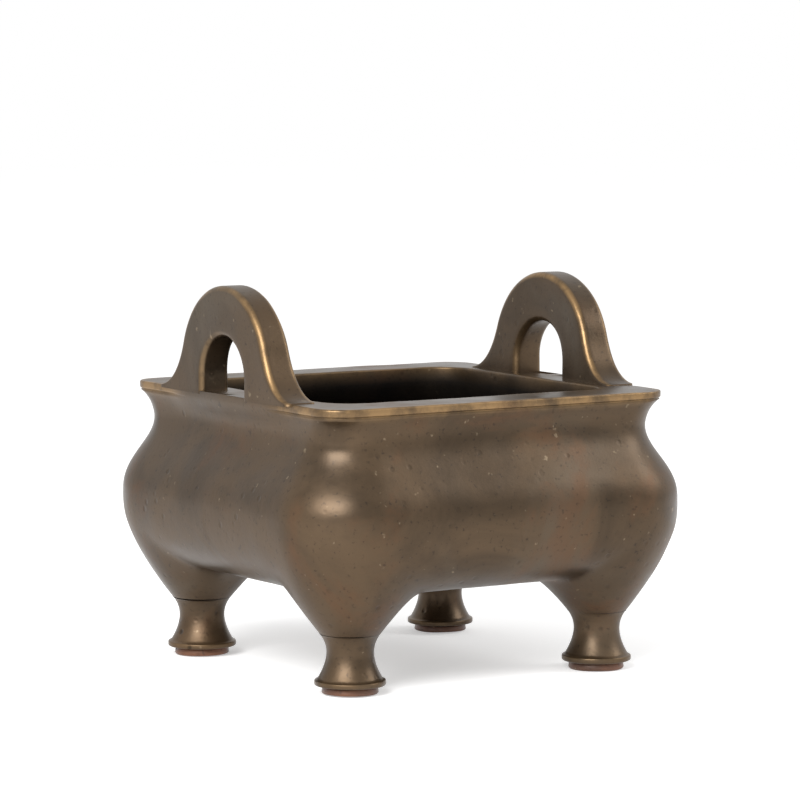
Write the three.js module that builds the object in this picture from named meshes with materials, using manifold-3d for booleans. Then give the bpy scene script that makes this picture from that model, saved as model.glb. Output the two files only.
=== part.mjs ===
// Square incense burner in cast bronze: a rounded square bowl on four round legs, with two
// arched loop handles standing on its flat rim.
// Millimetres, +Z up. The origin is on the ground under the middle of the bowl. The handles
// stand on the left (-X) and right (+X) sides, and the front is -Y.
import * as THREE from "three";
import { mergeVertices } from "three/addons/utils/BufferGeometryUtils.js";
import Module from "manifold-3d";

const wasm = await Module();
wasm.setup();

// Clearance between two castings that are seated on each other.
const seatGap = 0.3;

// Bowl, outside. Half sizes run from the middle of the burner to the outside of a wall.
const rimTop = 100;
const rimHalf = 71;
const rimCorner = 12;
const rimEdgeHeight = 3;
const neckHeight = 89;
const neckHalf = 68.7;
const neckCorner = 17;
const bellyHeight = 60;
const bellyHalf = 80;
const bowlUnderside = 33.5;
const bowlRoundness = 2.4;
const shoulderFullness = 1.15;
const lipFlare = 2.5;

// Bowl, inside.
const wall = 5.5;
const floorThickness = 5;
const mouthHalfX = 56.5;
const mouthHalfY = 54;
const mouthCorner = 13;
const mouthEdgeHeight = 4;
const edgeRounding = 0.8;

// Legs. Each haunch widens from the top of its leg up to the round corner of the belly.
const legSpread = 51.5;
const legTop = 21;
const waistHeight = 14.5;
const waistRadius = 8.3;
const haunchDrop = 51;
const haunchFullness = 1.75;
const archBlend = 13;
const collarTop = 5;
const collarBottom = 3;
const collarRadius = 12.5;
const legTenonRadius = 6;
const legTenonLength = 11.5;

// Plugs that close the hollow legs and stand on the ground.
const plugRadius = 10.1;
const plugChamfer = 0.6;
const plugStemRadius = 4.2;
const plugStemLength = 12;

// Handles.
const handleTop = 138;
const handleOuterFace = 72.5;
const handleThicknessFoot = 12;
const handleThicknessTop = 10.8;
const handleArchRadius = 30;
const handleShoulderAngle = Math.PI * 0.1;
const handleFootHalf = 45;
const handleFootTip = 0.4;
const handleEdge = 2.6;
const handleOpeningTop = 120;
const handleOpeningHalf = 14.4;
const tenonWidth = 14;
const tenonThickness = 4;
const tenonDepth = 7;
const tenonOffset = 24;
const tenonFromOuterFace = 8.1;

// Fineness of the surfaces.
const cornerSteps = 6;
const sideSteps = 3;
const wallSteps = 4;
const floorSteps = 3;
const haunchSteps = 9;
const roundSteps = 20;

const haunchRadius = bellyHalf - legSpread;

// A list of triangles that grows patch by patch.
class Skin {
  constructor() {
    this.positions = [];
  }

  triangle(a, b, c) {
    this.positions.push(...a, ...b, ...c);
  }

  // Joins two closed rows of points. The side that faces out has the first row's points
  // running to the right when the second row is above it. Each cell is split along its
  // shorter diagonal, which keeps slanted cells from denting the surface.
  band(lower, upper) {
    for (let i = 0; i < lower.length; i += 1) {
      const next = (i + 1) % lower.length;
      const [a, b, c, d] = [lower[i], lower[next], upper[next], upper[i]];
      const rising = Math.hypot(a[0] - c[0], a[1] - c[1], a[2] - c[2]);
      const falling = Math.hypot(b[0] - d[0], b[1] - d[1], b[2] - d[2]);
      if (rising <= falling) {
        this.triangle(a, b, c);
        this.triangle(a, c, d);
      } else {
        this.triangle(a, b, d);
        this.triangle(b, c, d);
      }
    }
  }

  geometry() {
    const geometry = new THREE.BufferGeometry();
    geometry.setAttribute("position", new THREE.Float32BufferAttribute(this.positions, 3));
    return geometry;
  }
}

// Closed solid from a geometry, for cutting and joining.
function solidFrom(geometry) {
  const bare = geometry.clone();
  bare.deleteAttribute("normal");
  bare.deleteAttribute("uv");
  const merged = mergeVertices(bare, 1e-4);
  return new wasm.Manifold(new wasm.Mesh({
    numProp: 3,
    vertProperties: merged.getAttribute("position").array,
    triVerts: new Uint32Array(merged.getIndex().array),
  }));
}

function geometryFrom(solid) {
  const { vertProperties, triVerts } = solid.getMesh();
  const geometry = new THREE.BufferGeometry();
  geometry.setAttribute("position", new THREE.BufferAttribute(vertProperties, 3));
  geometry.setIndex(new THREE.BufferAttribute(triVerts, 1));
  geometry.computeVertexNormals();
  return geometry;
}

function boxSolid(xRange, yRange, zRange) {
  const size = [xRange, yRange, zRange].map(([low, high]) => high - low);
  const middle = [xRange, yRange, zRange].map(([low, high]) => (high + low) / 2);
  return solidFrom(new THREE.BoxGeometry(...size).translate(...middle));
}

// Geometry of a turned piece, from radius and height pairs.
function turned(profile) {
  const points = profile.map(([radius, height]) => new THREE.Vector2(radius, height));
  return new THREE.LatheGeometry(points, roundSteps).rotateX(Math.PI / 2);
}

const quarterTurns = [
  ([x, y, z]) => [x, y, z],
  ([x, y, z]) => [-y, x, z],
  ([x, y, z]) => [-x, -y, z],
  ([x, y, z]) => [y, -x, z],
];

// One quarter of a rounded rectangle, from the middle of the +X side to the middle of the
// +Y side.
function quarterOutline(halfX, halfY, corner, height) {
  const points = [];
  for (let i = 0; i < sideSteps; i += 1) {
    points.push([halfX, (halfY - corner) * (i / sideSteps), height]);
  }
  for (let i = 0; i <= cornerSteps; i += 1) {
    const angle = (Math.PI / 2) * (i / cornerSteps);
    const x = halfX - corner + corner * Math.cos(angle);
    const y = halfY - corner + corner * Math.sin(angle);
    points.push([x, y, height]);
  }
  for (let i = 1; i <= sideSteps; i += 1) {
    points.push([(halfX - corner) * (1 - i / sideSteps), halfY, height]);
  }
  return points;
}

function ring({ halfX, halfY = halfX, corner, height }) {
  return quarterTurns.flatMap((turn, index) => {
    const quarter = index % 2 === 0
      ? quarterOutline(halfX, halfY, corner, height)
      : quarterOutline(halfY, halfX, corner, height);
    return quarter.slice(0, -1).map(turn);
  });
}

// Half size of the bowl's outside above the belly: it swings in to the neck and flares out
// again under the rim.
function upperHalf(height) {
  if (height <= neckHeight) {
    const rise = (height - bellyHeight) / (neckHeight - bellyHeight);
    const swing = (1 + Math.cos(Math.PI * rise ** shoulderFullness)) / 2;
    return neckHalf + (bellyHalf - neckHalf) * swing;
  }
  const rise = (height - neckHeight) / (rimTop - rimEdgeHeight - neckHeight);
  return neckHalf + (rimHalf - neckHalf) * Math.min(rise, 1) ** lipFlare;
}

function upperCorner(height) {
  if (height <= neckHeight) {
    const rise = (height - bellyHeight) / (neckHeight - bellyHeight);
    return haunchRadius + (neckCorner - haunchRadius) * rise ** 1.5;
  }
  const rise = (height - neckHeight) / (rimTop - rimEdgeHeight - neckHeight);
  return neckCorner + (rimCorner - neckCorner) * Math.min(rise, 1);
}

// Height of the bowl's own underside, by the distance outside the square of leg axes.
function bowlHeight(distance) {
  const reach = Math.min(distance / haunchRadius, 1);
  const depth = bellyHeight - bowlUnderside;
  return bellyHeight - depth * (1 - reach ** bowlRoundness) ** (1 / bowlRoundness);
}

// Height of a haunch, by the distance from its leg's axis.
function haunchHeight(radius) {
  return bellyHeight - haunchDrop * (1 - radius / haunchRadius) ** (1 / haunchFullness);
}

const legTopRadius = haunchRadius * (1 - ((bellyHeight - legTop) / haunchDrop) ** haunchFullness);

// Height of the casting's underside over a point of the quarter x > 0, y > 0: the bowl and the
// haunch flow into each other, which leaves an arch between two legs.
function underside(x, y) {
  const distance = Math.hypot(Math.max(x - legSpread, 0), Math.max(y - legSpread, 0));
  const bowl = bowlHeight(distance);
  const radius = Math.hypot(x - legSpread, y - legSpread);
  if (radius >= haunchRadius) {
    return bowl;
  }
  const haunch = haunchHeight(radius);
  const blend = archBlend * (1 - (distance / haunchRadius) ** 2);
  const overlap = Math.max(blend - Math.abs(bowl - haunch), 0);
  const sag = blend > 0 ? overlap ** 2 / (4 * blend) : 0;
  return Math.min(bowl, haunch) - sag;
}

// Points at even steps of length along a curve that is given for 0 to 1.
function evenPoints(curve, steps) {
  const samples = 240;
  const points = Array.from({ length: samples + 1 }, (_, i) => curve(i / samples));
  const travelled = [0];
  for (let i = 1; i <= samples; i += 1) {
    const [a, b] = [points[i - 1], points[i]];
    travelled.push(travelled[i - 1] + Math.hypot(b[0] - a[0], b[1] - a[1], b[2] - a[2]));
  }
  return Array.from({ length: steps + 1 }, (_, step) => {
    const target = (travelled[samples] * step) / steps;
    const index = Math.min(travelled.findIndex((length) => length >= target), samples);
    if (index <= 0) {
      return points[0];
    }
    const span = travelled[index] - travelled[index - 1];
    const share = (target - travelled[index - 1]) / span;
    return curve((index - 1 + share) / samples);
  });
}

// Middle line of the underside, from the belly at the middle of the +Y side to the centre.
function middleLine() {
  const wallPart = evenPoints((t) => {
    const y = legSpread + haunchRadius * Math.cos((t * Math.PI) / 2);
    return [0, y, underside(0, y)];
  }, wallSteps);
  const floorPart = Array.from({ length: floorSteps }, (_, i) => {
    const y = legSpread * (1 - (i + 1) / floorSteps);
    return [0, y, underside(0, y)];
  });
  return [...wallPart, ...floorPart];
}

// Edge of the underside's quarter patch, once round its leg.
function patchEdge() {
  const belly = quarterOutline(bellyHalf, bellyHalf, haunchRadius, bellyHeight);
  const middle = middleLine();
  const back = middle.slice(1, -1).reverse().map(([x, y, z]) => [y, x, z]);
  return [...belly, ...middle.slice(1), ...back];
}

function addUnderside(skin) {
  const edge = patchEdge();
  const columns = edge.map(([x, y]) => {
    const reach = Math.hypot(x - legSpread, y - legSpread);
    const start = legTopRadius / reach;
    return evenPoints((t) => {
      const share = start + (1 - start) * Math.sin((t * Math.PI) / 2);
      const px = legSpread + (x - legSpread) * share;
      const py = legSpread + (y - legSpread) * share;
      return [px, py, t === 0 ? legTop : underside(px, py)];
    }, haunchSteps);
  });
  columns.forEach((column, i) => {
    column[haunchSteps] = edge[i];
  });
  const centre = [legSpread, legSpread, legTop];
  for (const turn of quarterTurns) {
    const rows = columns[0].map((_, row) => columns.map((column) => turn(column[row])));
    for (let row = 0; row < haunchSteps; row += 1) {
      skin.band(rows[row], rows[row + 1]);
    }
    const seam = rows[0];
    seam.forEach((point, i) => {
      skin.triangle(turn(centre), seam[(i + 1) % seam.length], point);
    });
  }
}

// Half size of the hollow inside.
function innerUpperHalf(height, mouthHalf) {
  const mouthBottom = rimTop - mouthEdgeHeight;
  const widest = bellyHeight + 20;
  const drop = Math.min(Math.max((mouthBottom - height) / (mouthBottom - widest), 0), 1);
  const ease = drop * drop * (3 - 2 * drop);
  return mouthHalf + (upperHalf(Math.min(height, neckHeight)) - wall - mouthHalf) * ease;
}

function outsideRings() {
  const heights = [60, 64, 68, 71, 74, 77, 80, 83, 86, 89, 93, 95.5];
  const share = (height) => (height - 60) / (95.5 - 60);
  const lipStart = rimTop - rimEdgeHeight - 1.5;
  const rings = heights.map((height) => {
    const z = bellyHeight + (lipStart - bellyHeight) * share(height);
    return { halfX: upperHalf(z), corner: upperCorner(z), height: z };
  });
  const edgeBottom = rimTop - rimEdgeHeight;
  rings.push({ halfX: rimHalf, corner: rimCorner, height: edgeBottom + edgeRounding });
  rings.push({ halfX: rimHalf, corner: rimCorner, height: rimTop - edgeRounding });
  rings.push({
    halfX: rimHalf - edgeRounding,
    corner: rimCorner - edgeRounding,
    height: rimTop,
  });
  return rings;
}

function insideRings() {
  const rings = [];
  const mouth = (grow, height) => rings.push({
    halfX: mouthHalfX + grow,
    halfY: mouthHalfY + grow,
    corner: mouthCorner + grow,
    height,
  });
  mouth(edgeRounding, rimTop);
  mouth(0, rimTop - edgeRounding);
  mouth(0, rimTop - mouthEdgeHeight);
  const wallTop = rimTop - mouthEdgeHeight;
  const steps = 8;
  for (let i = 1; i <= steps; i += 1) {
    const height = wallTop + (bellyHeight - wallTop) * (i / steps);
    const blend = i / steps;
    rings.push({
      halfX: innerUpperHalf(height, mouthHalfX),
      halfY: innerUpperHalf(height, mouthHalfY),
      corner: mouthCorner + (haunchRadius - wall - mouthCorner) * blend,
      height,
    });
  }
  const floorTop = bowlUnderside + floorThickness;
  const innerRadius = haunchRadius - wall;
  for (const angle of [0.3, 0.55, 0.8, 1.0, 1.2]) {
    const reach = innerRadius * Math.cos(angle) ** (2 / bowlRoundness);
    const drop = (bellyHeight - floorTop) * Math.sin(angle) ** (2 / bowlRoundness);
    rings.push({ halfX: legSpread + reach, corner: reach, height: bellyHeight - drop });
  }
  rings.push({ halfX: legSpread, corner: 6, height: floorTop });
  rings.push({ halfX: legSpread / 2, corner: 6, height: floorTop });
  return rings;
}

function bowlSolid() {
  const skin = new Skin();
  addUnderside(skin);
  const rings = [...outsideRings(), ...insideRings()].map(ring);
  for (let i = 1; i < rings.length; i += 1) {
    skin.band(rings[i - 1], rings[i]);
  }
  const last = rings[rings.length - 1];
  const centre = [0, 0, last[0][2]];
  last.forEach((point, i) => {
    skin.triangle(point, last[(i + 1) % last.length], centre);
  });
  return solidFrom(skin.geometry());
}

// Sockets in the haunches for the legs' tenons.
function legSocket(x, y) {
  const top = legTop + legTenonLength + seatGap;
  const profile = [
    [0, legTop - 1],
    [legTenonRadius + seatGap, legTop - 1],
    [legTenonRadius + seatGap, top],
    [0, top],
  ];
  return solidFrom(turned(profile).translate(x, y, 0));
}

const tenonMiddle = handleOuterFace - tenonFromOuterFace;

// The two pegs under one handle, or the slots that they stand in.
function handlePegs(side, clearance, bottom, top) {
  const halfThickness = tenonThickness / 2 + clearance;
  const halfWidth = tenonWidth / 2 + clearance;
  return [-1, 1].map((end) => boxSolid(
    [side * tenonMiddle - halfThickness, side * tenonMiddle + halfThickness],
    [end * tenonOffset - halfWidth, end * tenonOffset + halfWidth],
    [bottom, top],
  ));
}

const corners = [
  { name: "front_left", x: -legSpread, y: -legSpread },
  { name: "front_right", x: legSpread, y: -legSpread },
  { name: "back_left", x: -legSpread, y: legSpread },
  { name: "back_right", x: legSpread, y: legSpread },
];

function bowlGeometry() {
  let bowl = bowlSolid();
  for (const { x, y } of corners) {
    bowl = bowl.subtract(legSocket(x, y));
  }
  for (const side of [-1, 1]) {
    for (const slot of handlePegs(side, seatGap, rimTop - tenonDepth, rimTop + 1)) {
      bowl = bowl.subtract(slot);
    }
  }
  return geometryFrom(bowl);
}

// A leg is a turned baluster: a tenon for the haunch, a waist, and a flared collar. It is bored
// from below for the plug's stem.
function legProfile() {
  const seam = legTop - seatGap;
  const outer = new THREE.SplineCurve([
    new THREE.Vector2(legTopRadius - 0.2, seam),
    new THREE.Vector2(waistRadius + 0.5, (seam + waistHeight) / 2 + 0.4),
    new THREE.Vector2(waistRadius, waistHeight),
    new THREE.Vector2(waistRadius + 0.6, (waistHeight + collarTop) / 2 + 1),
    new THREE.Vector2(collarRadius - 1.6, collarTop + 1.4),
    new THREE.Vector2(collarRadius - 0.2, collarTop),
  ]);
  const bore = plugStemRadius + seatGap;
  const boreTop = collarBottom + plugStemLength;
  return [
    [0, legTop + legTenonLength],
    [legTenonRadius - edgeRounding, legTop + legTenonLength],
    [legTenonRadius, legTop + legTenonLength - edgeRounding],
    [legTenonRadius, seam],
    ...outer.getPoints(8).map((point) => [point.x, point.y]),
    [collarRadius, collarTop - 0.6],
    [collarRadius - 0.1, collarBottom + 0.7],
    [collarRadius - 0.8, collarBottom],
    [bore, collarBottom],
    [bore, boreTop],
    [0, boreTop],
  ].reverse();
}

function plugProfile() {
  const shoulder = collarBottom - seatGap;
  return [
    [0, 0],
    [plugRadius - plugChamfer, 0],
    [plugRadius, plugChamfer],
    [plugRadius, shoulder - plugChamfer / 2],
    [plugRadius - plugChamfer / 2, shoulder],
    [plugStemRadius, shoulder],
    [plugStemRadius, collarBottom + plugStemLength - seatGap],
    [0, collarBottom + plugStemLength - seatGap],
  ];
}

// Outline of a handle seen from the side, in Y and Z: a round arch whose sides sweep out along
// the rim, round an arched opening. It runs on below the rim and is cut off there.
function handleOutline() {
  const seat = rimTop + seatGap;
  const below = seat - 2 * handleEdge;
  const arcMiddle = handleTop - handleArchRadius;
  const shoulderY = handleArchRadius * Math.cos(handleShoulderAngle);
  const shoulderZ = arcMiddle + handleArchRadius * Math.sin(handleShoulderAngle);
  const drop = (shoulderZ - seat) * 0.62;
  const lean = drop * Math.tan(handleShoulderAngle);
  const tip = seat + handleFootTip;
  const openingMiddle = handleOpeningTop - handleOpeningHalf;
  const outline = new THREE.Shape();
  outline.moveTo(handleFootHalf, below);
  outline.lineTo(handleFootHalf, tip);
  outline.bezierCurveTo(
    handleFootHalf - 7.5, tip + 0.5,
    shoulderY + lean, shoulderZ - drop,
    shoulderY, shoulderZ,
  );
  outline.absarc(
    0, arcMiddle, handleArchRadius,
    handleShoulderAngle, Math.PI - handleShoulderAngle, false,
  );
  outline.bezierCurveTo(
    -shoulderY - lean, shoulderZ - drop,
    -handleFootHalf + 7.5, tip + 0.5,
    -handleFootHalf, tip,
  );
  outline.lineTo(-handleFootHalf, below);
  outline.lineTo(-handleOpeningHalf, below);
  outline.absarc(0, openingMiddle, handleOpeningHalf, Math.PI, 0, true);
  outline.lineTo(handleOpeningHalf, below);
  outline.closePath();
  return outline;
}

// The right handle, standing in place on the rim.
function handleGeometry() {
  const seat = rimTop + seatGap;
  const body = new THREE.ExtrudeGeometry(handleOutline(), {
    depth: handleThicknessFoot - 2 * handleEdge,
    curveSegments: 9,
    bevelEnabled: true,
    bevelThickness: handleEdge,
    bevelSize: handleEdge,
    bevelOffset: -handleEdge,
    bevelSegments: 2,
  });
  const upright = new THREE.Matrix4().makeBasis(
    new THREE.Vector3(0, 1, 0),
    new THREE.Vector3(0, 0, 1),
    new THREE.Vector3(1, 0, 0),
  );
  body.applyMatrix4(upright);
  body.translate(handleOuterFace - handleThicknessFoot + handleEdge, 0, 0);
  const place = body.getAttribute("position");
  for (let i = 0; i < place.count; i += 1) {
    const rise = (place.getZ(i) - seat) / (handleTop - seat);
    const thickness = THREE.MathUtils.lerp(
      handleThicknessFoot, handleThicknessTop, THREE.MathUtils.clamp(rise, 0, 1),
    );
    const inset = handleOuterFace - place.getX(i);
    place.setX(i, handleOuterFace - (inset * thickness) / handleThicknessFoot);
  }
  const underRim = boxSolid(
    [handleOuterFace - 2 * handleThicknessFoot, handleOuterFace + handleThicknessFoot],
    [-2 * handleFootHalf, 2 * handleFootHalf],
    [seat - 6 * handleEdge, seat],
  );
  let handle = solidFrom(body).subtract(underRim);
  for (const peg of handlePegs(1, 0, seat - tenonDepth, seat + 2)) {
    handle = handle.add(peg);
  }
  return geometryFrom(handle);
}

const bronze = { roughness: 0.42, metalness: 0.85 };
const bowlBronze = new THREE.MeshStandardMaterial({ color: 0x574b3d, ...bronze });
const handleBronze = new THREE.MeshStandardMaterial({ color: 0x5f5343, ...bronze });
const legBronze = new THREE.MeshStandardMaterial({ color: 0x50463a, ...bronze });
const plugMetal = new THREE.MeshStandardMaterial({
  color: 0x6a3f2c,
  roughness: 0.85,
  metalness: 0.3,
});

function piece(name, geometry, material) {
  const mesh = new THREE.Mesh(geometry, material.clone());
  mesh.name = name;
  return mesh;
}

const burner = new THREE.Group();
burner.add(piece("bowl", bowlGeometry(), bowlBronze));

const rightHandle = piece("right_handle", handleGeometry(), handleBronze);
const leftHandle = piece("left_handle", rightHandle.geometry, handleBronze);
leftHandle.rotation.z = Math.PI;
burner.add(leftHandle, rightHandle);

for (const { name, x, y } of corners) {
  const leg = new THREE.Group();
  leg.position.set(x, y, 0);
  leg.add(piece(`${name}_leg`, turned(legProfile()), legBronze));
  leg.add(piece(`${name}_foot_plug`, turned(plugProfile()), plugMetal));
  burner.add(leg);
}

export default burner;
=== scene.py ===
import math

import bmesh
import bpy
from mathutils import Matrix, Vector, noise


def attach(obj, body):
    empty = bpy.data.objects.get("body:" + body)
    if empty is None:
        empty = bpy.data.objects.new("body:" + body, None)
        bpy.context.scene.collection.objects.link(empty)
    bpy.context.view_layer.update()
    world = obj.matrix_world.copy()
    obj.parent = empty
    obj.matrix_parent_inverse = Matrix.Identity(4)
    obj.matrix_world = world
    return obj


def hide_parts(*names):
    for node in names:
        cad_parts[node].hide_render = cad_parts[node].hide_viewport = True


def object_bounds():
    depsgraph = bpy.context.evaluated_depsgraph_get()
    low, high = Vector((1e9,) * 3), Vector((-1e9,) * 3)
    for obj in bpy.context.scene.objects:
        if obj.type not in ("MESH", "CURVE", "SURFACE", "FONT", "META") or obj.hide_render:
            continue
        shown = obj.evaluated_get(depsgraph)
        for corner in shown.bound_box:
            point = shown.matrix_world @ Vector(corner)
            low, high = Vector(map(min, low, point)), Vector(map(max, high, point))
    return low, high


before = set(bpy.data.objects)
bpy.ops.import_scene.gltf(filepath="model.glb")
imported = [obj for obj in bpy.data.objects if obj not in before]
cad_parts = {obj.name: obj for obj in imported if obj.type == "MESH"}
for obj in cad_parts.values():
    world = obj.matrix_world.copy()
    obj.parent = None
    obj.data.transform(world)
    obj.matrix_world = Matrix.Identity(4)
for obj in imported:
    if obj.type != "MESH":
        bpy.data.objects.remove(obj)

cad_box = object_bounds()

# Shape of the casting. Lengths are in millimetres, and most values repeat the construction model's.
MM = 0.001
RIM_TOP = 100.0
RIM_HALF = 71.0
RIM_CORNER = 12.0
RIM_EDGE = 3.0
NECK_HEIGHT = 89.0
NECK_HALF = 68.7
NECK_CORNER = 17.0
BELLY_HEIGHT = 60.0
BELLY_HALF = 80.0
UNDERSIDE = 33.5
BOWL_ROUNDNESS = 2.4
SHOULDER_FULLNESS = 1.15
LIP_FLARE = 2.5
WALL = 5.5
FLOOR_TOP = 38.5
MOUTH_HALF_X = 56.5
MOUTH_HALF_Y = 54.0
MOUTH_CORNER = 13.0
MOUTH_EDGE = 4.0
EDGE_ROUNDING = 0.8
LEG_SPREAD = 51.5
LEG_TOP = 21.0
WAIST_HEIGHT = 14.5
WAIST_RADIUS = 8.3
HAUNCH_RADIUS = BELLY_HALF - LEG_SPREAD
HAUNCH_DROP = 51.0
HAUNCH_FULLNESS = 1.75
ARCH_BLEND = 13.0
COLLAR_TOP = 5.0
COLLAR_BOTTOM = 3.0
COLLAR_RADIUS = 12.5
PLUG_RADIUS = 10.1
HANDLE_TOP = 138.0
HANDLE_OUTER = 72.5
HANDLE_FOOT_THICK = 12.0
HANDLE_TOP_THICK = 10.8
HANDLE_ARCH = 30.0
HANDLE_SHOULDER = math.pi * 0.1
HANDLE_FOOT_HALF = 45.0
HANDLE_EDGE = 2.2
HANDLE_FOOT_PULL = 7.5
HANDLE_FOOT_RISE = 0.3
HANDLE_FOOT_LIFT = 0.9
HANDLE_SWEEP_SHARE = 0.62
HANDLE_SUNK = 1.2
JOIN_FADE_START = 19.0
JOIN_FADE_END = 2.0
JOIN_INSET = 0.15
WIDEST_ABOVE_BELLY = 20.0
FLOOR_CORNER = 5.0
COLLAR_ROUNDING = 0.7
FLARE_FULLNESS = 1.8
OPENING_TOP = 120.0
OPENING_HALF = 14.4
LEG_TOP_RADIUS = HAUNCH_RADIUS * (1 - ((BELLY_HEIGHT - LEG_TOP) / HAUNCH_DROP) ** HAUNCH_FULLNESS)

# Fineness of the surfaces.
SIDE_STEPS = 14
CORNER_STEPS = 16
WALL_STEPS = 14
FLOOR_STEPS = 7
HAUNCH_STEPS = 38
ROUND_STEPS = 72
SHOULDER_STEPS = 34
INSIDE_WALL_STEPS = 20
INSIDE_CURVE_STEPS = 12
INSIDE_CURVE_END = 1.3
FLARE_STEPS = 26
LEG_RISE_STEPS = 14


def smooth(low, high, value):
    share = min(max((value - low) / (high - low), 0.0), 1.0)
    return share * share * (3 - 2 * share)


class Skin:
    """A mesh that grows band by band, with wear and painted inner shade stored on its points."""

    def __init__(self, name):
        self.name = name
        self.bm = bmesh.new()
        self.wear = self.bm.verts.layers.float.new("wear")
        # Painted shade inside the bowl, stored per point.
        self.inner_shade = self.bm.verts.layers.float.new("inner_shade")

    def row(self, points, wear=0.0, inner_shade=0.0):
        made = []
        for index, point in enumerate(points):
            vert = self.bm.verts.new(Vector(point) * MM)
            vert[self.wear] = wear[index] if isinstance(wear, list) else wear
            vert[self.inner_shade] = inner_shade
            made.append(vert)
        return made

    def band(self, lower, upper):
        count = len(lower)
        for i in range(count):
            self.bm.faces.new((lower[i], lower[(i + 1) % count], upper[(i + 1) % count], upper[i]))

    def cap(self, row, centre, inner_shade=0.0):
        middle = self.row([centre], inner_shade=inner_shade)[0]
        for i in range(len(row)):
            face = self.bm.faces.new((row[i], row[(i + 1) % len(row)], middle))
            face.edges[0].smooth = False

    def finish(self, unevenness):
        bm = self.bm
        bmesh.ops.remove_doubles(bm, verts=bm.verts, dist=2e-6)
        bmesh.ops.recalc_face_normals(bm, faces=bm.faces)
        bm.normal_update()
        low, high = [Vector(corner) for corner in cad_box]
        moved = []
        for vert in bm.verts:
            swell = noise.noise(vert.co * 28.0) + 0.4 * noise.noise(vert.co * 90.0)
            place = vert.co + vert.normal * (unevenness * MM * (swell - 0.5))
            moved.append([min(max(place[i], low[i]), high[i]) for i in range(3)])
        for vert, place in zip(bm.verts, moved):
            vert.co = place
        mesh = bpy.data.meshes.new(self.name)
        bm.to_mesh(mesh)
        bm.free()
        mesh.polygons.foreach_set("use_smooth", [True] * len(mesh.polygons))
        piece = bpy.data.objects.new(self.name, mesh)
        bpy.context.scene.collection.objects.link(piece)
        return piece


# Outlines of the bowl, which follow the construction model's rules.
QUARTER_TURNS = (
    lambda p: (p[0], p[1], p[2]),
    lambda p: (-p[1], p[0], p[2]),
    lambda p: (-p[0], -p[1], p[2]),
    lambda p: (p[1], -p[0], p[2]),
)


def quarter_outline(half_x, half_y, corner, height):
    points = [(half_x, (half_y - corner) * i / SIDE_STEPS, height) for i in range(SIDE_STEPS)]
    for i in range(CORNER_STEPS + 1):
        angle = math.pi / 2 * i / CORNER_STEPS
        x = half_x - corner + corner * math.cos(angle)
        y = half_y - corner + corner * math.sin(angle)
        points.append((x, y, height))
    for i in range(1, SIDE_STEPS + 1):
        points.append(((half_x - corner) * (1 - i / SIDE_STEPS), half_y, height))
    return points


def ring(half_x, half_y, corner, height):
    points = []
    for index, turn in enumerate(QUARTER_TURNS):
        halves = (half_x, half_y) if index % 2 == 0 else (half_y, half_x)
        points += [turn(p) for p in quarter_outline(*halves, corner, height)[:-1]]
    return points


def upper_half(height):
    if height <= NECK_HEIGHT:
        rise = (height - BELLY_HEIGHT) / (NECK_HEIGHT - BELLY_HEIGHT)
        swing = (1 + math.cos(math.pi * rise ** SHOULDER_FULLNESS)) / 2
        return NECK_HALF + (BELLY_HALF - NECK_HALF) * swing
    rise = (height - NECK_HEIGHT) / (RIM_TOP - RIM_EDGE - NECK_HEIGHT)
    return NECK_HALF + (RIM_HALF - NECK_HALF) * min(rise, 1) ** LIP_FLARE


def upper_corner(height):
    if height <= NECK_HEIGHT:
        rise = (height - BELLY_HEIGHT) / (NECK_HEIGHT - BELLY_HEIGHT)
        return HAUNCH_RADIUS + (NECK_CORNER - HAUNCH_RADIUS) * rise ** 1.5
    rise = (height - NECK_HEIGHT) / (RIM_TOP - RIM_EDGE - NECK_HEIGHT)
    return NECK_CORNER + (RIM_CORNER - NECK_CORNER) * min(rise, 1)


def underside(x, y):
    distance = math.hypot(max(x - LEG_SPREAD, 0), max(y - LEG_SPREAD, 0))
    reach = min(distance / HAUNCH_RADIUS, 1)
    depth = BELLY_HEIGHT - UNDERSIDE
    bowl = BELLY_HEIGHT - depth * (1 - reach ** BOWL_ROUNDNESS) ** (1 / BOWL_ROUNDNESS)
    radius = math.hypot(x - LEG_SPREAD, y - LEG_SPREAD)
    if radius >= HAUNCH_RADIUS:
        return bowl
    haunch = BELLY_HEIGHT - HAUNCH_DROP * (1 - radius / HAUNCH_RADIUS) ** (1 / HAUNCH_FULLNESS)
    blend = ARCH_BLEND * (1 - (distance / HAUNCH_RADIUS) ** 2)
    overlap = max(blend - abs(bowl - haunch), 0)
    sag = overlap ** 2 / (4 * blend) if blend > 0 else 0
    return min(bowl, haunch) - sag


def even_points(curve, steps, samples=200):
    points = [curve(i / samples) for i in range(samples + 1)]
    travelled = [0.0]
    for a, b in zip(points, points[1:]):
        travelled.append(travelled[-1] + math.dist(a, b))
    made = []
    index = 1
    for step in range(steps + 1):
        target = travelled[-1] * step / steps
        while index < samples and travelled[index] < target:
            index += 1
        span = travelled[index] - travelled[index - 1]
        share = min(max((target - travelled[index - 1]) / span, 0), 1)
        made.append(curve((index - 1 + share) / samples))
    return made


def middle_line():
    def wall_point(share):
        y = LEG_SPREAD + HAUNCH_RADIUS * math.cos(share * math.pi / 2)
        return (0.0, y, underside(0.0, y))

    points = even_points(wall_point, WALL_STEPS)
    for i in range(FLOOR_STEPS):
        y = LEG_SPREAD * (1 - (i + 1) / FLOOR_STEPS)
        points.append((0.0, y, underside(0.0, y)))
    return points


def haunch_column(end):
    reach = math.hypot(end[0] - LEG_SPREAD, end[1] - LEG_SPREAD)
    start = LEG_TOP_RADIUS / reach

    def point(share):
        along = start + (1 - start) * math.sin(share * math.pi / 2)
        x = LEG_SPREAD + (end[0] - LEG_SPREAD) * along
        y = LEG_SPREAD + (end[1] - LEG_SPREAD) * along
        return (x, y, LEG_TOP if share == 0 else underside(x, y))

    column = even_points(point, HAUNCH_STEPS)
    column[-1] = end
    return column


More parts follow.
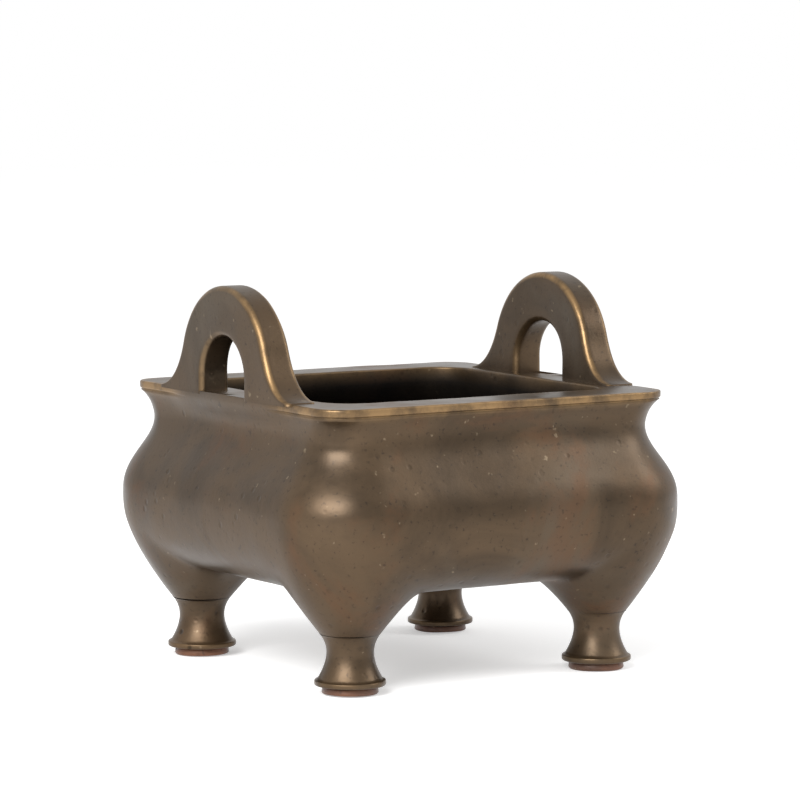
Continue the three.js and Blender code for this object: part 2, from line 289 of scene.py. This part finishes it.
def add_underside(skin):
    middle = middle_line()
    back = [(y, x, z) for x, y, z in reversed(middle[1:-1])]
    edge = quarter_outline(BELLY_HALF, BELLY_HALF, HAUNCH_RADIUS, BELLY_HEIGHT) + middle[1:] + back
    columns = [haunch_column(end) for end in edge]
    for turn in QUARTER_TURNS:
        rows = [skin.row([turn(column[i]) for column in columns]) for i in range(HAUNCH_STEPS + 1)]
        for lower, upper in zip(rows, rows[1:]):
            skin.band(lower, upper)
        skin.cap(rows[0], turn((LEG_SPREAD, LEG_SPREAD, LEG_TOP)))


def handle_share(point):
    """How far a point of the outside belongs to the foot of a handle, from 0 to 1."""
    x, y, z = point
    if z < NECK_HEIGHT or abs(x) < NECK_HALF - 1.0:
        return 0.0
    fade_start = HANDLE_FOOT_HALF - JOIN_FADE_START
    fade_end = HANDLE_FOOT_HALF - JOIN_FADE_END
    return 1 - smooth(fade_start, fade_end, abs(y))


def join_handle(point, share):
    """The neck flares smoothly up into a handle's outer face, with no lip between them."""
    x, y, z = point
    rise = smooth(NECK_HEIGHT, RIM_TOP - 1, z)
    flare = NECK_HALF + (HANDLE_OUTER - JOIN_INSET - NECK_HALF) * rise
    grown = abs(x) + max(flare - abs(x), 0) * share
    return (math.copysign(grown, x), y, z)


def rounded_edge(steps=4):
    return [math.pi / 2 * i / steps for i in range(steps + 1)]


def add_walls(skin):
    rows = []

    def level(half_x, half_y, corner, height, wear=0.0, inner_shade=0.0):
        points = ring(half_x, half_y, corner, height)
        shares = [handle_share(point) for point in points]
        points = [join_handle(point, share) for point, share in zip(points, shares)]
        rows.append(skin.row(points, [wear * (1 - share) for share in shares], inner_shade))

    lip_start = RIM_TOP - RIM_EDGE
    under_lip = lip_start - 0.3
    for i in range(SHOULDER_STEPS + 1):
        height = BELLY_HEIGHT + (under_lip - BELLY_HEIGHT) * i / SHOULDER_STEPS
        half = upper_half(height)
        wear = 0.35 * smooth(lip_start - 3, lip_start, height)
        level(half, half, upper_corner(height), height, wear)
    for angle in rounded_edge():
        grow = EDGE_ROUNDING * (1 - math.sin(angle))
        height = lip_start + EDGE_ROUNDING * (1 - math.cos(angle))
        half = RIM_HALF - grow
        level(half, half, RIM_CORNER - grow, height, 1.0)
    for angle in rounded_edge():
        grow = EDGE_ROUNDING * (1 - math.cos(angle))
        height = RIM_TOP - EDGE_ROUNDING * (1 - math.sin(angle))
        half = RIM_HALF - grow
        level(half, half, RIM_CORNER - grow, height, 1.0)
    for share in (0.06, 0.14, 0.3, 0.5, 0.7, 0.88):
        outer = RIM_HALF - EDGE_ROUNDING
        half_x = outer + (MOUTH_HALF_X + EDGE_ROUNDING - outer) * share
        half_y = outer + (MOUTH_HALF_Y + EDGE_ROUNDING - outer) * share
        corner = RIM_CORNER + (MOUTH_CORNER - RIM_CORNER) * share
        level(half_x, half_y, corner, RIM_TOP, 0.3 * (1 - smooth(0, 0.14, share)))
    # From the mouth's edge inward, the last value of each level is painted shade: 0.1 on the edge,
    # 0.5 at the top of the inner wall and 1 further down.
    for angle in rounded_edge():
        grow = EDGE_ROUNDING * (1 - math.sin(angle))
        height = RIM_TOP - EDGE_ROUNDING * (1 - math.cos(angle))
        level(MOUTH_HALF_X + grow, MOUTH_HALF_Y + grow, MOUTH_CORNER + grow, height, 0.35, 0.1)
    wall_top = RIM_TOP - MOUTH_EDGE
    level(MOUTH_HALF_X, MOUTH_HALF_Y, MOUTH_CORNER, wall_top, 0.0, 0.5)
    for i in range(1, INSIDE_WALL_STEPS + 1):
        share = i / INSIDE_WALL_STEPS
        height = wall_top + (BELLY_HEIGHT - wall_top) * share
        drop = smooth(0, wall_top - BELLY_HEIGHT - WIDEST_ABOVE_BELLY, wall_top - height)
        outside = upper_half(min(height, NECK_HEIGHT)) - WALL
        half_x = MOUTH_HALF_X + (outside - MOUTH_HALF_X) * drop
        half_y = MOUTH_HALF_Y + (outside - MOUTH_HALF_Y) * drop
        corner = MOUTH_CORNER + (HAUNCH_RADIUS - WALL - MOUTH_CORNER) * share
        level(half_x, half_y, corner, height, 0.0, 1.0)
    for i in range(1, INSIDE_CURVE_STEPS + 1):
        angle = INSIDE_CURVE_END * i / INSIDE_CURVE_STEPS
        reach = (HAUNCH_RADIUS - WALL) * math.cos(angle) ** (2 / BOWL_ROUNDNESS)
        drop = (BELLY_HEIGHT - FLOOR_TOP) * math.sin(angle) ** (2 / BOWL_ROUNDNESS)
        level(LEG_SPREAD + reach, LEG_SPREAD + reach, reach, BELLY_HEIGHT - drop, 0.0, 1.0)
    for share in (1.0, 0.75, 0.5, 0.25):
        half = LEG_SPREAD * share
        level(half, half, FLOOR_CORNER, FLOOR_TOP, 0.0, 1.0)
    for lower, upper in zip(rows, rows[1:]):
        skin.band(lower, upper)
    skin.cap(rows[-1], (0, 0, FLOOR_TOP), 1.0)


def make_bowl():
    skin = Skin("bowl_casting")
    add_underside(skin)
    add_walls(skin)
    return skin.finish(0.3)


def turned_piece(name, profile, centre, unevenness):
    """A turned solid round an upright axis, from radius, height and wear."""
    skin = Skin(name)
    rows = []
    for radius, height, wear in profile:
        points = []
        for i in range(ROUND_STEPS):
            angle = math.tau * i / ROUND_STEPS
            x = centre[0] + radius * math.cos(angle)
            y = centre[1] + radius * math.sin(angle)
            points.append((x, y, height))
        rows.append(skin.row(points, wear))
    for lower, upper in zip(rows, rows[1:]):
        skin.band(lower, upper)
    skin.cap(rows[0], (*centre, profile[0][1]))
    skin.cap(rows[-1], (*centre, profile[-1][1]))
    return skin.finish(unevenness)


def leg_profile():
    """Radius, height and wear of a leg, from under its collar over the waist to the haunch."""
    points = [(PLUG_RADIUS - 1.5, COLLAR_BOTTOM, 0.0)]
    for angle in rounded_edge():
        radius = COLLAR_RADIUS - COLLAR_ROUNDING * (1 - math.sin(angle))
        points.append((radius, COLLAR_BOTTOM + COLLAR_ROUNDING * (1 - math.cos(angle)), 0.1))
    upper_edge = COLLAR_TOP - 0.4
    for angle in rounded_edge():
        radius = COLLAR_RADIUS - COLLAR_ROUNDING * (1 - math.cos(angle))
        points.append((radius, upper_edge + COLLAR_ROUNDING * math.sin(angle), 0.25))
    flare_start = COLLAR_RADIUS - 1.1
    flare_bottom = COLLAR_TOP + 0.5
    for i in range(1, FLARE_STEPS + 1):
        height = flare_bottom + (WAIST_HEIGHT - flare_bottom) * i / FLARE_STEPS
        sweep = (1 - i / FLARE_STEPS) ** FLARE_FULLNESS
        radius = WAIST_RADIUS + (flare_start - WAIST_RADIUS) * sweep
        points.append((radius, height, 0.1 * sweep))
    rise = LEG_TOP - WAIST_HEIGHT
    haunch_lean = HAUNCH_RADIUS * HAUNCH_FULLNESS / HAUNCH_DROP
    haunch_lean *= ((BELLY_HEIGHT - LEG_TOP) / HAUNCH_DROP) ** (HAUNCH_FULLNESS - 1)
    for i in range(1, LEG_RISE_STEPS + 1):
        t = i / LEG_RISE_STEPS
        ease = t * t * (3 - 2 * t)
        radius = WAIST_RADIUS + (LEG_TOP_RADIUS - WAIST_RADIUS) * ease
        radius += haunch_lean * rise * (t ** 3 - t ** 2)
        points.append((radius, WAIST_HEIGHT + rise * t, 0.0))
    return points


def plug_profile():
    return [
        (PLUG_RADIUS - 1.0, 0.0, 0.0),
        (PLUG_RADIUS - 0.4, 0.15, 0.0),
        (PLUG_RADIUS, 0.7, 0.0),
        (PLUG_RADIUS - 0.1, 1.5, 0.0),
        (PLUG_RADIUS - 0.2, 2.4, 0.0),
        (PLUG_RADIUS - 0.6, COLLAR_BOTTOM + 0.1, 0.0),
    ]


def bezier(a, b, c, d, t):
    s = 1 - t
    return tuple(
        s ** 3 * a[i] + 3 * s * s * t * b[i] + 3 * s * t * t * c[i] + t ** 3 * d[i]
        for i in range(2)
    )


def handle_curves(steps):
    """Outer and inner outline of a handle in Y and Z, from one foot over the top to the other."""
    seat = RIM_TOP
    middle = HANDLE_TOP - HANDLE_ARCH
    shoulder_y = HANDLE_ARCH * math.cos(HANDLE_SHOULDER)
    shoulder_z = middle + HANDLE_ARCH * math.sin(HANDLE_SHOULDER)
    drop = (shoulder_z - seat) * HANDLE_SWEEP_SHARE
    lean = drop * math.tan(HANDLE_SHOULDER)
    foot = (HANDLE_FOOT_HALF, seat + HANDLE_FOOT_RISE)

    def outer(share):
        side = 1 if share < 0.5 else -1
        share = 1 - abs(2 * share - 1)
        split = 0.42
        if share < split:
            y, z = bezier(
                foot, (HANDLE_FOOT_HALF - HANDLE_FOOT_PULL, seat + HANDLE_FOOT_LIFT),
                (shoulder_y + lean, shoulder_z - drop), (shoulder_y, shoulder_z), share / split,
            )
        else:
            along = (share - split) / (1 - split)
            angle = HANDLE_SHOULDER + (math.pi / 2 - HANDLE_SHOULDER) * along
            y = HANDLE_ARCH * math.cos(angle)
            z = middle + HANDLE_ARCH * math.sin(angle)
        return (side * y, z, 0)

    opening_middle = OPENING_TOP - OPENING_HALF

    def inner(share):
        side = 1 if share < 0.5 else -1
        share = 1 - abs(2 * share - 1)
        split = 0.25
        if share < split:
            return (side * OPENING_HALF, seat + (opening_middle - seat) * share / split, 0)
        angle = math.pi / 2 * (share - split) / (1 - split)
        y = OPENING_HALF * math.cos(angle)
        return (side * y, opening_middle + OPENING_HALF * math.sin(angle), 0)

    return even_points(outer, steps, 600), even_points(inner, steps, 600)


def rounded_section(half_width, half_thick, radius, steps=6):
    """Points of a rounded bar's section, with how far each is on an edge, from 0 to 1."""
    points = []
    for sign_u, sign_v, start in ((1, 1, 0), (-1, 1, 1), (-1, -1, 2), (1, -1, 3)):
        for i in range(steps + 1):
            angle = math.pi / 2 * (start + i / steps)
            u = sign_u * (half_width - radius) + radius * math.cos(angle)
            v = sign_v * (half_thick - radius) + radius * math.sin(angle)
            points.append((u, v, abs(math.sin(2 * angle))))
        u, v, _ = points[-1]
        along_u = start % 2 == 0
        for share in (0.12, 0.35, 0.65, 0.88):
            if along_u:
                points.append((u * (1 - 2 * share), v, 0.0))
            else:
                points.append((u, v * (1 - 2 * share), 0.0))
    return points


def make_handle(name, side):
    skin = Skin(name)
    outer, inner = handle_curves(120)
    rows = []
    for (oy, oz, _), (iy, iz, _) in zip(outer, inner):
        points = []
        wear = []
        half_width = math.hypot(oy - iy, oz - iz) / 2
        rise = smooth(RIM_TOP, HANDLE_TOP, (oz + iz) / 2)
        thick = HANDLE_FOOT_THICK + (HANDLE_TOP_THICK - HANDLE_FOOT_THICK) * rise
        for u, v, edge in rounded_section(half_width, thick / 2, HANDLE_EDGE):
            across = u / half_width
            y = (oy + iy) / 2 + (oy - iy) / 2 * across
            z = (oz + iz) / 2 + (oz - iz) / 2 * across
            points.append((side * (HANDLE_OUTER - thick / 2 + v), side * y, z))
            wear.append(edge if u > 0 else 0.4 * edge)
        rows.append(skin.row(points, wear))
    around = len(rows[0])
    for end in (0, -1):
        sunk = [(v.co / MM - Vector((0, 0, HANDLE_SUNK))) for v in rows[end]]
        foot = skin.row(sunk)
        order = [foot, rows[0]] if end == 0 else [rows[-1], foot]
        skin.band(*order)
        middle = sum((Vector(p) for p in sunk), Vector()) / around
        skin.cap(foot, middle)
    for lower, upper in zip(rows, rows[1:]):
        skin.band(lower, upper)
    return skin.finish(0.25)


# Shader nodes shared by the finishes.
def add_socket(group, name, kind, out=False, value=None):
    socket = group.interface.new_socket(
        name=name, in_out="OUTPUT" if out else "INPUT", socket_type=f"NodeSocket{kind}",
    )
    if value is not None:
        socket.default_value = value
    return socket


class Wiring:
    """Short calls for adding and joining nodes."""

    def __init__(self, tree):
        self.tree = tree

    def node(self, kind, **settings):
        made = self.tree.nodes.new(kind)
        for key, value in settings.items():
            setattr(made, key, value)
        return made

    def join(self, start, end):
        self.tree.links.new(start, end)

    def plug(self, socket, value):
        if isinstance(value, bpy.types.NodeSocket):
            self.join(value, socket)
        else:
            socket.default_value = value

    def noise(self, vector, scale, detail=4.0, roughness=0.55, distortion=0.0):
        made = self.node("ShaderNodeTexNoise")
        self.plug(made.inputs["Vector"], vector)
        for name, value in (("Scale", scale), ("Detail", detail), ("Roughness", roughness),
                            ("Distortion", distortion)):
            self.plug(made.inputs[name], value)
        return made.outputs["Fac"]

    def cells(self, vector, scale):
        made = self.node("ShaderNodeTexVoronoi")
        self.plug(made.inputs["Vector"], vector)
        made.inputs["Scale"].default_value = scale
        return made.outputs["Distance"]

    def between(self, value, low, high, start=0.0, end=1.0):
        made = self.node("ShaderNodeMapRange", interpolation_type="SMOOTHSTEP")
        self.plug(made.inputs["Value"], value)
        made.inputs["From Min"].default_value = low
        made.inputs["From Max"].default_value = high
        made.inputs["To Min"].default_value = start
        made.inputs["To Max"].default_value = end
        return made.outputs["Result"]

    def maths(self, operation, first, second):
        made = self.node("ShaderNodeMath", operation=operation)
        self.plug(made.inputs[0], first)
        self.plug(made.inputs[1], second)
        return made.outputs[0]

    def blend(self, share, first, second):
        made = self.node("ShaderNodeMix", data_type="RGBA")
        self.plug(made.inputs["Factor"], share)
        self.plug(made.inputs[MIX_FIRST_COLOR], first)
        self.plug(made.inputs[MIX_SECOND_COLOR], second)
        return made.outputs[MIX_RESULT_COLOR]


# Places of the colour sockets on a Mix node, where several sockets share a name.
MIX_FIRST_COLOR = 6
MIX_SECOND_COLOR = 7
MIX_RESULT_COLOR = 2

# Shades that all bronze finishes share.
PALE_FILM = (0.105, 0.088, 0.066, 1)
DARK_SPECK = (0.018, 0.013, 0.01, 1)
BRIGHT_FLECK = (0.26, 0.2, 0.13, 1)
# Near black for the painted shade inside the bowl.
INNER_SHADE_BLACK = (0.009, 0.007, 0.006, 1)
PIT_DARK = (0.01, 0.007, 0.005, 1)


def patina_group():
    """Cast bronze: uneven brown patina, red patches, a pale film, wear, painted shade inside the
    bowl and pits.
    """
    group = bpy.data.node_groups.new("bronze patina", "ShaderNodeTree")
    add_socket(group, "Vector", "Vector")
    add_socket(group, "Dark", "Color", value=(0.05, 0.033, 0.019, 1))
    add_socket(group, "Brown", "Color", value=(0.088, 0.057, 0.032, 1))
    add_socket(group, "Red", "Color", value=(0.125, 0.055, 0.024, 1))
    add_socket(group, "Red Amount", "Float", value=0.6)
    add_socket(group, "Film", "Float", value=0.5)
    add_socket(group, "Gold", "Color", value=(0.25, 0.155, 0.07, 1))
    add_socket(group, "Pits", "Float", value=0.4)
    add_socket(group, "Wear", "Float", value=0.0)
    add_socket(group, "Inner Shade", "Float", value=0.0)
    add_socket(group, "Color", "Color", out=True)
    add_socket(group, "Roughness", "Float", out=True)
    add_socket(group, "Height", "Float", out=True)
    w = Wiring(group)
    given = w.node("NodeGroupInput").outputs
    result = w.node("NodeGroupOutput").inputs
    place = given["Vector"]

    cloud = w.noise(place, 26.0, 6.0, 0.62, 0.8)
    color = w.blend(w.between(cloud, 0.3, 0.7), given["Dark"], given["Brown"])
    film_noise = w.noise(place, 13.0, 4.0, 0.5, 1.2)
    film = w.maths("MULTIPLY", w.between(film_noise, 0.48, 0.7), given["Film"])
    color = w.blend(film, color, PALE_FILM)
    red_noise = w.noise(place, 17.0, 7.0, 0.68, 0.5)
    red = w.maths("MULTIPLY", w.between(red_noise, 0.52, 0.66), given["Red Amount"])
    color = w.blend(red, color, given["Red"])
    speckle = w.noise(place, 620.0, 3.0, 0.6)
    color = w.blend(w.between(speckle, 0.58, 0.74, 0.0, 0.55), color, DARK_SPECK)
    fleck = w.noise(place, 300.0, 2.0, 0.5)
    color = w.blend(w.between(fleck, 0.7, 0.78, 0.0, 0.5), color, BRIGHT_FLECK)

    rub = w.noise(place, 95.0, 5.0, 0.65)
    worn = w.maths("MULTIPLY", given["Wear"], w.between(rub, 0.3, 0.62, 0.15, 1.0))
    color = w.blend(worn, color, given["Gold"])
    # Painted shade: the inside of the bowl is blended towards near black and made rougher.
    inner_shade_noise = w.noise(place, 60.0, 5.0, 0.7)
    inner_shaded = w.maths("MULTIPLY", given["Inner Shade"], w.between(inner_shade_noise, 0.25, 0.7, 1.0, 0.75))
    color = w.blend(inner_shaded, color, INNER_SHADE_BLACK)

    rough = w.between(cloud, 0.3, 0.7, 0.3, 0.44)
    rough = w.maths("ADD", rough, w.maths("MULTIPLY", red, 0.18))
    rough = w.maths("ADD", rough, w.maths("MULTIPLY", given["Inner Shade"], 0.35))
    pit_cells = w.cells(place, 210.0)
    pit_mask = w.between(w.noise(place, 70.0, 3.0), 0.5, 0.66)
    pits = w.maths("MULTIPLY", w.between(pit_cells, 0.12, 0.3, 1.0, 0.0), pit_mask)
    pits = w.maths("MULTIPLY", pits, given["Pits"])
    grain = w.maths("MULTIPLY", w.noise(place, 900.0, 3.0), 0.1)
    dents = w.maths("MULTIPLY", w.noise(place, 75.0, 3.0), 0.5)
    height = w.maths("SUBTRACT", w.maths("ADD", grain, dents), pits)
    color = w.blend(w.maths("MULTIPLY", pits, 0.85), color, PIT_DARK)
    w.join(color, result["Color"])
    w.join(rough, result["Roughness"])
    w.join(height, result["Height"])
    return group


def bronze(name, group, bump, metallic, **values):
    material = bpy.data.materials.new(name)
    material.use_nodes = True
    tree = material.node_tree
    shader = tree.nodes["Principled BSDF"]
    w = Wiring(tree)
    patina = w.node("ShaderNodeGroup", node_tree=group)
    w.join(w.node("ShaderNodeTexCoord").outputs["Object"], patina.inputs["Vector"])
    for attribute, socket in (("wear", "Wear"), ("inner_shade", "Inner Shade")):
        w.join(w.node("ShaderNodeAttribute", attribute_name=attribute).outputs["Fac"],
               patina.inputs[socket])
    for socket, value in values.items():
        patina.inputs[socket.replace("_", " ")].default_value = value
    w.join(patina.outputs["Color"], shader.inputs["Base Color"])
    w.join(patina.outputs["Roughness"], shader.inputs["Roughness"])
    raised = w.node("ShaderNodeBump")
    raised.inputs["Strength"].default_value = bump
    raised.inputs["Distance"].default_value = 0.4 * MM
    w.join(patina.outputs["Height"], raised.inputs["Height"])
    w.join(raised.outputs["Normal"], shader.inputs["Normal"])
    shader.inputs["Metallic"].default_value = metallic
    return material


def plain(name, color, rough):
    material = bpy.data.materials.new(name)
    material.use_nodes = True
    shader = material.node_tree.nodes["Principled BSDF"]
    shader.inputs["Base Color"].default_value = (*color, 1)
    shader.inputs["Roughness"].default_value = rough
    return material


def dress(piece, material, node):
    piece.data.materials.append(material)
    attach(piece, "root")
    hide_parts(node)


# Pieces of the burner.
patina = patina_group()
bowl_finish = bronze("brown patina", patina, 0.6, 0.75, Red_Amount=0.35, Film=0.3, Pits=0.3)
handle_finish = bronze("handle patina", patina, 0.6, 0.8, Red_Amount=0.12, Film=0.45, Pits=0.25)
leg_finish = bronze("leg patina", patina, 1.0, 0.75, Red_Amount=0.2, Film=0.2, Pits=0.8)
plug_finish = bronze(
    "rough red metal", patina, 1.0, 0.25,
    Dark=(0.07, 0.03, 0.018, 1), Brown=(0.2, 0.085, 0.045, 1), Red_Amount=0.6, Film=0.2, Pits=0.9,
)

dress(make_bowl(), bowl_finish, "bowl")
for label, side in (("left", -1), ("right", 1)):
    loop = make_handle(f"{label}_loop", side)
    dress(loop, handle_finish, f"{label}_handle")
for depth, y_side in (("front", -1), ("back", 1)):
    for label, x_side in (("left", -1), ("right", 1)):
        corner = f"{depth}_{label}"
        centre = (x_side * LEG_SPREAD, y_side * LEG_SPREAD)
        leg = turned_piece(f"{corner}_turned_leg", leg_profile(), centre, 0.3)
        dress(leg, leg_finish, f"{corner}_leg")
        plug = turned_piece(f"{corner}_foot_stub", plug_profile(), centre, 0.5)
        dress(plug, plug_finish, f"{corner}_foot_plug")


# Floor, world, lamps and camera. Lens and sensor are in millimetres, and other lengths in metres.
FLOOR_HALF = 4.0
FLOOR_GLOW = 0.42
WORLD_LIGHT = 0.62
CAMERA_PLACE = (-0.76745, -1.22026, 0.23473)
CAMERA_AZIMUTH = math.radians(-32.21)
CAMERA_SIDE_STEP = 1.02 * MM
CAMERA_AIM_HEIGHT = 94.26 * MM
LENS_LENGTH = 182.03
SENSOR_WIDTH = 36.0


def seen_rays(w):
    """1 for rays that show the background: to the camera, in metal and through glass."""
    paths = w.node("ShaderNodeLightPath").outputs
    seen = w.maths("MAXIMUM", paths["Is Camera Ray"], paths["Is Glossy Ray"])
    return w.maths("MAXIMUM", seen, paths["Is Transmission Ray"])


def make_floor():
    turns = ((-1, -1), (1, -1), (1, 1), (-1, 1))
    corners = [(x * FLOOR_HALF, y * FLOOR_HALF, 0) for x, y in turns]
    mesh = bpy.data.meshes.new("floor")
    mesh.from_pydata(corners, [], [(0, 1, 2, 3)])
    floor = bpy.data.objects.new("floor", mesh)
    bpy.context.scene.collection.objects.link(floor)
    material = plain("pale floor", (0.93, 0.93, 0.93), 0.9)
    shader = material.node_tree.nodes["Principled BSDF"]
    shader.inputs["Specular IOR Level"].default_value = 0.0
    shader.inputs["Emission Color"].default_value = (1, 1, 1, 1)
    w = Wiring(material.node_tree)
    glow = w.between(seen_rays(w), 0.0, 1.0, 0.0, FLOOR_GLOW)
    w.join(glow, shader.inputs["Emission Strength"])
    mesh.materials.append(material)


def make_world():
    world = bpy.data.worlds.new("studio")
    world.use_nodes = True
    w = Wiring(world.node_tree)
    background = world.node_tree.nodes["Background"]
    background.inputs["Color"].default_value = (1, 1, 1, 1)
    strength = w.between(seen_rays(w), 0.0, 1.0, WORLD_LIGHT, 1.0)
    w.join(strength, background.inputs["Strength"])
    bpy.context.scene.world = world


def aim(thing, place, target):
    thing.location = place
    thing.rotation_euler = (Vector(target) - Vector(place)).to_track_quat("-Z", "Y").to_euler()


def make_lamp(name, place, width, height, power):
    data = bpy.data.lights.new(name, "AREA")
    data.shape = "RECTANGLE"
    data.size = width
    data.size_y = height
    data.energy = power
    lamp = bpy.data.objects.new(name, data)
    bpy.context.scene.collection.objects.link(lamp)
    aim(lamp, place, (0, 0, 0.06))


def make_camera():
    target = (
        CAMERA_SIDE_STEP * math.cos(CAMERA_AZIMUTH),
        CAMERA_SIDE_STEP * math.sin(CAMERA_AZIMUTH),
        CAMERA_AIM_HEIGHT,
    )
    data = bpy.data.cameras.new("camera")
    data.sensor_width = SENSOR_WIDTH
    data.lens = LENS_LENGTH
    camera = bpy.data.objects.new("camera", data)
    bpy.context.scene.collection.objects.link(camera)
    aim(camera, CAMERA_PLACE, target)
    bpy.context.scene.camera = camera


make_floor()
make_world()
make_lamp("key softbox", place=(-0.78, -0.5, 0.62), width=0.7, height=0.5, power=13.0)
make_lamp("side softbox", place=(0.9, -0.5, 0.7), width=0.5, height=0.5, power=4.0)
make_camera()
bpy.context.scene.view_settings.view_transform = "Standard"
